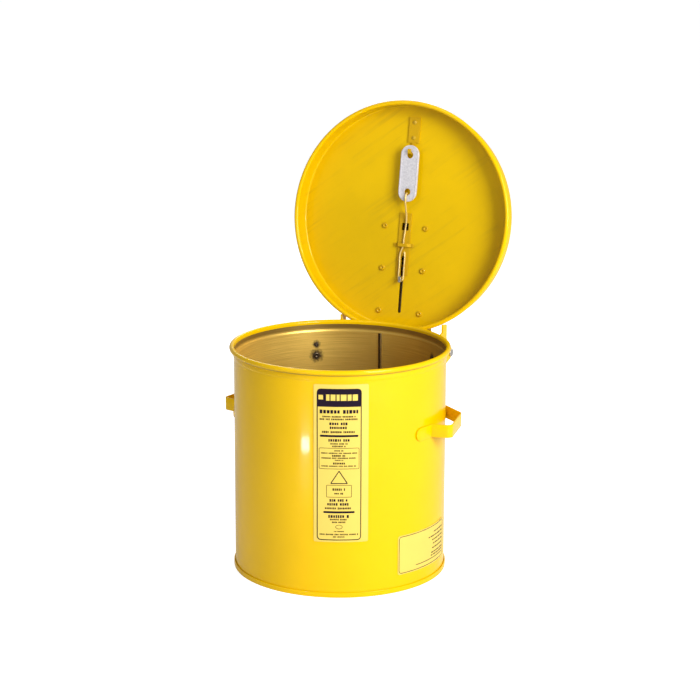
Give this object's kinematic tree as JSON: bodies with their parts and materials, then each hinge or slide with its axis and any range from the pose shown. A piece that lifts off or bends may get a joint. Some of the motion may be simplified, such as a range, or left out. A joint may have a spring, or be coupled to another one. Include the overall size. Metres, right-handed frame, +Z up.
{
  "type": "parts washer tank",
  "caption": "Round steel dip tank with a rolled rim, two strap handles and a hinged lid that a fusible link device throws shut in a fire.",
  "frame": {"origin": "centre of the flat underside of the tank's bottom panel, on the tank's axis; the foot ring reaches 5 mm lower", "axes": "+Z up along the tank's axis, -Y towards the front of the tank, +Y towards the hinge, +X to the right seen from the front"},
  "size_m": [0.2804, 0.3335, 0.5079],
  "materials": {
    "yellow_paint": "gloss",
    "tank_paint": "gloss outside; the wall's inside is bare brushed steel",
    "plated_steel": "satin zinc plate",
    "spring_steel": "dark oiled",
    "link_metal": "tinned, mottled",
    "label_film": "satin printed film"
  },
  "bodies": {
    "tank": {"tank_wall": "tank_paint", "tank_bottom": "yellow_paint", "right_handle": "yellow_paint", "left_handle": "yellow_paint", "main_label": "label_film", "side_label": "label_film", "hinge_ear_right": "yellow_paint", "hinge_ear_left": "yellow_paint", "hinge_pin": "plated_steel", "pin_retainer": "spring_steel", "pin_spacer_right": "plated_steel", "pin_spacer_left": "plated_steel", "kick_bar": "plated_steel"},
    "lid": {"lid_pan": "yellow_paint", "lid_bracket": "yellow_paint", "lid_rivet_left_1": "yellow_paint", "lid_rivet_right_1": "yellow_paint", "lid_rivet_left_2": "yellow_paint", "lid_rivet_right_2": "yellow_paint", "lid_rivet_left_3": "yellow_paint", "lid_rivet_right_3": "yellow_paint", "hook_plate": "yellow_paint", "hook_rivet_front": "yellow_paint", "hook_rivet_back": "yellow_paint", "link_front_plate": "link_metal", "link_back_plate": "link_metal", "link_solder": "link_metal", "release_wire": "yellow_paint", "guide_strip": "yellow_paint", "wire_bridge": "yellow_paint", "kicker_slide": "plated_steel", "kicker_spring": "spring_steel"}
  },
  "joints": [
    {"name": "lid_hinge", "type": "hinge", "parent": "tank", "child": "lid", "pos_m": [0, 0.1407, 0.2298], "axis": [1, 0, 0], "range_deg": [0, 99.8]}
  ]
}
